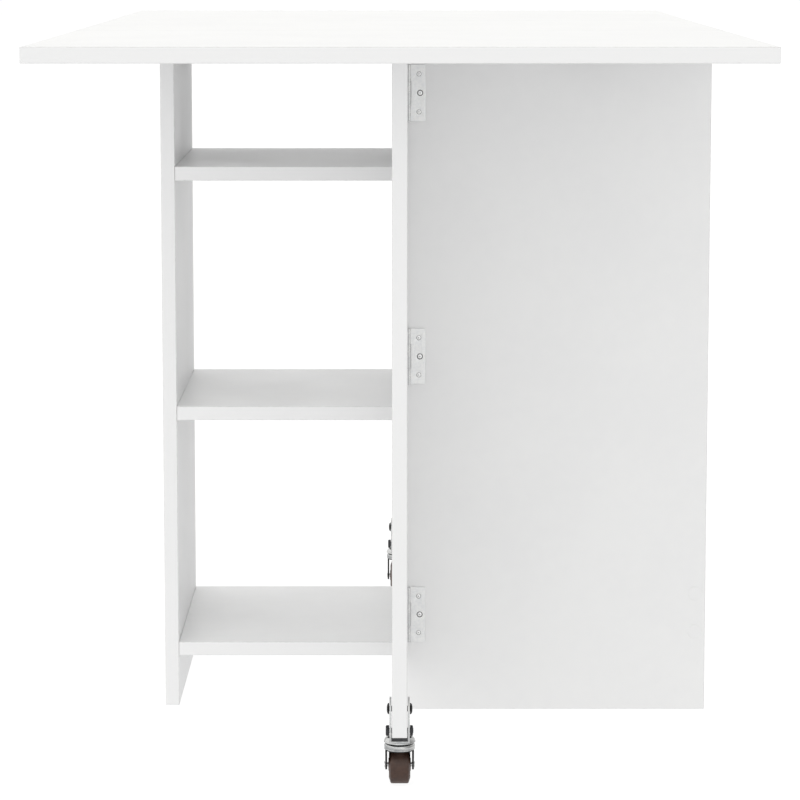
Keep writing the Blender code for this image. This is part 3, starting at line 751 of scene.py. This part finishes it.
def hinges():
    """Three hinges on each gate and two under each leaf."""
    halves = {part: hinge_half(part) for part in ("fixed", "moving", "staked")}
    screws = {kind: cross_screw(kind) for kind in SCREW_HEADS}
    right = Vector((1, 0, 0))
    down = Vector((0, 0, -1))

    def fit(name, body, part, pin, plate, out):
        fit_hinge_half(name, body, halves[part], screws, pin, plate, out)

    for end, outward in ENDS.items():
        away = Vector((0, outward, 0))
        for level in LEVELS:
            name = f"{end}_gate_hinge_{level}"
            pin = middle(f"{name}_pin")
            fit(f"{name}_fixed_half", "cabinet", "fixed", pin, right, away)
            fit(f"{name}_moving_half", f"{end}_gate", "moving", pin, away, right)
        for side in ("left", "right"):
            name = f"{end}_leaf_hinge_{side}"
            low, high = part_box(f"{name}_fixed_half")
            outer = max(low.y, high.y, key=abs)
            pin = Vector(((low.x + high.x) / 2, outer - outward * HINGE_BARREL, low.z + HINGE_BARREL))
            fit(f"{name}_fixed_half", "cabinet", "staked", pin, -away, down)
            fit(f"{name}_moving_half", f"{end}_leaf", "moving", pin, away, down)


# Casters --------------------------------------------------------------------------------------


def refined(node, width, finish, body, slot, segments=2):
    """A copy of a CAD node's shape with its edges rounded, which stands for it."""
    bm = bmesh.new()
    bm.from_mesh(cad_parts[node].data)
    bmesh.ops.remove_doubles(bm, verts=bm.verts, dist=CAD_SEAM)
    bmesh.ops.dissolve_limit(
        bm,
        angle_limit=math.radians(CAD_FLAT),
        verts=bm.verts,
        edges=bm.edges,
        use_dissolve_boundaries=False,
    )
    piece = as_object(f"{node}_rounded", bm, finish)
    rounded(piece, width, segments)
    return settle(piece, body, slot, node)


def mirrored(right):
    """A profile's right half with its left half before it."""
    return [(radius, -x) for radius, x in reversed(right)] + right


def wheel(end):
    """The tyre with its tread, side recess and hub, turned about the axle."""
    node = f"{end}_caster_wheel"
    low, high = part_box(node)
    radius = (high.z - low.z) / 2
    hub = (high.x - low.x) / 2
    right = [(r, hub - depth) for r, depth in WHEEL_SIDE]
    right.append((radius - TREAD_SHOULDER, hub - TREAD_EDGE))
    right += [(radius - depth, x) for depth, x in TREAD_CROWN]
    left = [(r, -x) for r, x in reversed(right)]
    piece = as_object(f"{end}_caster_tyre", turned(right + left, 96), FINISHES["tyre"])
    piece.matrix_world = facing(middle(node), (1, 0, 0), (0, 0, 1))
    return settle(piece, f"{end}_wheel", "brown_rubber", node)


def housing(end):
    """The bearing cup, with a rolled shoulder and a thin lip over the fork's crown."""
    node = f"{end}_caster_housing"
    low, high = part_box(node)
    radius = (high.x - low.x) / 2
    tall = high.z - low.z
    profile = [
        (CUP_BORE, tall),
        (CUP_BORE, CUP_ROOM),
        (radius - CUP_WALL, CUP_ROOM),
        (radius - CUP_WALL, CUP_ARRIS),
        (radius - 0.0005, 0),
        (radius - CUP_ARRIS, 0),
        (radius, CUP_ARRIS),
        (radius, 0.0008),
        (radius - CUP_GROOVE, 0.0012),
        (radius - CUP_GROOVE, 0.0016),
        (radius, 0.0020),
        (radius, CUP_SHOULDER_FOOT),
    ]
    for i in range(1, CUP_SHOULDER_STEPS + 1):
        turn = math.radians(90 * i / CUP_SHOULDER_STEPS)
        across = radius - CUP_SHOULDER_WIDTH * (1 - math.cos(turn))
        profile.append((across, CUP_SHOULDER_FOOT + CUP_SHOULDER_HEIGHT * math.sin(turn)))
    profile += [(radius - 0.0034, tall - 0.0002), (radius - 0.0042, tall)]
    piece = as_object(f"{end}_caster_cup", turned(profile, 96), FINISHES["race"])
    centre = middle(node)
    piece.matrix_world = Matrix.Translation((centre.x, centre.y, low.z))
    return settle(piece, f"{end}_caster", "plated_steel", node)


def hexagon(across):
    """The corners of a hexagon, from its size across flats."""
    corner = across / math.sqrt(3)
    turns = [math.radians(60 * i) for i in range(6)]
    return [(corner * math.cos(t), corner * math.sin(t)) for t in turns]


def upper_bolt(end):
    """A bolt with a round socket head at each side."""
    node = f"{end}_caster_upper_bolt"
    low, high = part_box(node)
    reach = (high.x - low.x) / 2
    radius = (high.z - low.z) / 2
    seat = reach - BUTTON_HEIGHT
    head = [
        (BOLT_SHANK, seat),
        (radius - 0.0002, seat),
        (radius, seat + 0.0002),
        (radius, seat + BUTTON_RIM),
    ]
    for i in range(1, BUTTON_STEPS):
        turn = math.radians(90 * i / BUTTON_STEPS)
        rim = radius * math.cos(turn) ** BUTTON_FULLNESS
        head.append((rim, seat + BUTTON_RIM + BUTTON_DOME * math.sin(turn)))
    head.append((0, reach))
    piece = as_object(f"{end}_caster_button_bolt", turned(mirrored(head), 48), FINISHES["black"])
    for side in (-1, 1):
        span = sorted((side * (reach - SOCKET_DEPTH), side * (reach + CUT_PAST)))
        cut(piece, as_object("socket", prism(hexagon(SOCKET_ACROSS), *span)))
    evened(cleaned(piece), 40)
    piece.matrix_world = facing(middle(node), (1, 0, 0), (0, 0, 1))
    return settle(piece, f"{end}_gate", "black_steel", node)


def chamfered_hexagon(across, tall):
    """A hexagon head on Z = 0, with its outer corners turned off."""
    nut = as_object("nut", prism(hexagon(across), 0, tall))
    edge = across / 2
    skin = [
        (0, -0.0001),
        (edge + 0.0009, -0.0001),
        (edge + 0.0012, 0.0005),
        (edge + 0.0012, tall - 0.0011),
        (edge - 0.0004, tall),
        (edge - 0.0010, tall + 0.0001),
        (0, tall + 0.0001),
    ]
    return cut(nut, as_object("skin", turned(skin, 48)), "INTERSECT")


def lower_bolt(end):
    """A bolt with a chamfered hexagon at each side and its thread just through the right one."""
    node = f"{end}_caster_lower_bolt"
    low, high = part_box(node)
    reach = (high.x - low.x) / 2
    seat = reach - HEX_HEAD
    ends = [(0, -seat - HEX_OVERLAP), (BOLT_SHANK, -seat - HEX_OVERLAP)]
    ends += [(BOLT_SHANK, seat + HEX_OVERLAP), (0, seat + HEX_OVERLAP)]
    piece = as_object(f"{end}_caster_hex_bolt", turned(ends, 32), FINISHES["nut"])
    for side, tall in ((-1, HEX_HEAD), (1, HEX_NUT)):
        nut = chamfered_hexagon(high.z - low.z, tall)
        turn = Matrix.Rotation(math.pi, 4, "Y") if side < 0 else Matrix.Identity(4)
        nut.data.transform(Matrix.Translation((0, 0, side * seat)) @ turn)
        cut(piece, nut, "UNION")
    thread = []
    for i in range(THREAD_POINTS):
        height = seat + THREAD_START + THREAD_STEP * i
        thread.append((THREAD_ROOT + THREAD_DEPTH * (i % 2), height))
    tip = [(0, seat + TIP_START), (TIP_RADIUS, seat + TIP_START), *thread, (0, thread[-1][1])]
    cut(piece, as_object("tip", turned(tip, 32)), "UNION")
    evened(cleaned(piece), 28)
    piece.matrix_world = facing(middle(node), (1, 0, 0), (0, 1, 0))
    return settle(piece, f"{end}_gate", "dark_grey_steel", node)


def casters():
    """A caster and a glide on each gate."""
    for end in ENDS:
        wheel(end)
        housing(end)
        upper_bolt(end)
        lower_bolt(end)
        refined(f"{end}_caster_bracket", 0.00035, FINISHES["bracket"], f"{end}_gate", "plated_steel")
        refined(f"{end}_caster_fork", 0.0003, FINISHES["black"], f"{end}_caster", "black_steel")
        refined(f"{end}_caster_pad", 0.0005, FINISHES["pad"], f"{end}_gate", "dark_rubber", 3)
        refined(f"{end}_gate_glide", 0.0009, FINISHES["nylon"], f"{end}_gate", "white_plastic", 3)


# Stage, light and camera ----------------------------------------------------------------------


def stage():
    """A pale floor that glows softly, as a lit studio floor does."""
    bm = bmesh.new()
    bmesh.ops.create_grid(bm, x_segments=8, y_segments=8, size=FLOOR_SIZE)
    made = Finish(
        "pale_floor", Roughness=0.9, Specular_IOR_Level=0.0, Emission_Color=(1, 1, 1, 1)
    )
    colour = made.blend(made.noise(3, 3), (0.16, 0.16, 0.16), (0.17, 0.17, 0.17))
    seen = made.node("ShaderNodeLightPath").outputs["Is Camera Ray"]
    glow = made.span(seen, 0.0, 1.0, FLOOR_GLOW, FLOOR_GLOW_SEEN)
    made.tree.links.new(glow, made.shader.inputs["Emission Strength"])
    floor = as_object("floor", bm, made.wear(colour))


def studio_world():
    """White to the camera. As light it is an even dome with four broad lobes."""
    world = bpy.data.worlds.new("studio")
    world.use_nodes = True
    made = Nodes(world.node_tree)
    direction = made.coords.outputs["Generated"]
    level = SKY_LEVEL
    for aim, strength in SKY_LOBES:
        lobe = made.node(
            "ShaderNodeVectorMath", {0: direction, 1: Vector(aim).normalized()}, operation="DOT_PRODUCT"
        )
        towards = made.maths("MAXIMUM", lobe.outputs["Value"], 0.0)
        share = made.maths("MULTIPLY", made.maths("POWER", towards, SKY_LOBE_FOCUS), strength)
        level = made.maths("ADD", share, level)
    light = made.tree.nodes["Background"]
    light.inputs["Color"].default_value = SKY_TINT
    made.tree.links.new(level, light.inputs["Strength"])
    white = made.node("ShaderNodeBackground", {"Color": (1, 1, 1, 1), "Strength": SKY_SEEN})
    seen = made.node("ShaderNodeLightPath").outputs["Is Camera Ray"]
    either = made.node(
        "ShaderNodeMixShader", {0: seen, 1: light.outputs[0], 2: white.outputs[0]}
    )
    made.tree.links.new(either.outputs[0], made.tree.nodes["World Output"].inputs["Surface"])
    bpy.context.scene.world = world


def photo_camera():
    """The photo's viewing angle, level across and tilted down a little."""
    data = bpy.data.cameras.new("camera")
    data.sensor_width = CAMERA_SENSOR
    data.lens = CAMERA_LENS
    data.shift_x, data.shift_y = CAMERA_SHIFT
    data.clip_end = CAMERA_FAR
    camera = bpy.data.objects.new("camera", data)
    camera.location = CAMERA_PLACE
    camera.rotation_euler = (math.radians(90 - CAMERA_DOWN), 0, 0)
    bpy.context.scene.collection.objects.link(camera)
    bpy.context.scene.camera = camera


bpy.context.scene.view_settings.view_transform = "Standard"
dress_frame()
cover_caps()
hinges()
casters()
stage()
studio_world()
photo_camera()

bpy.context.view_layer.update()
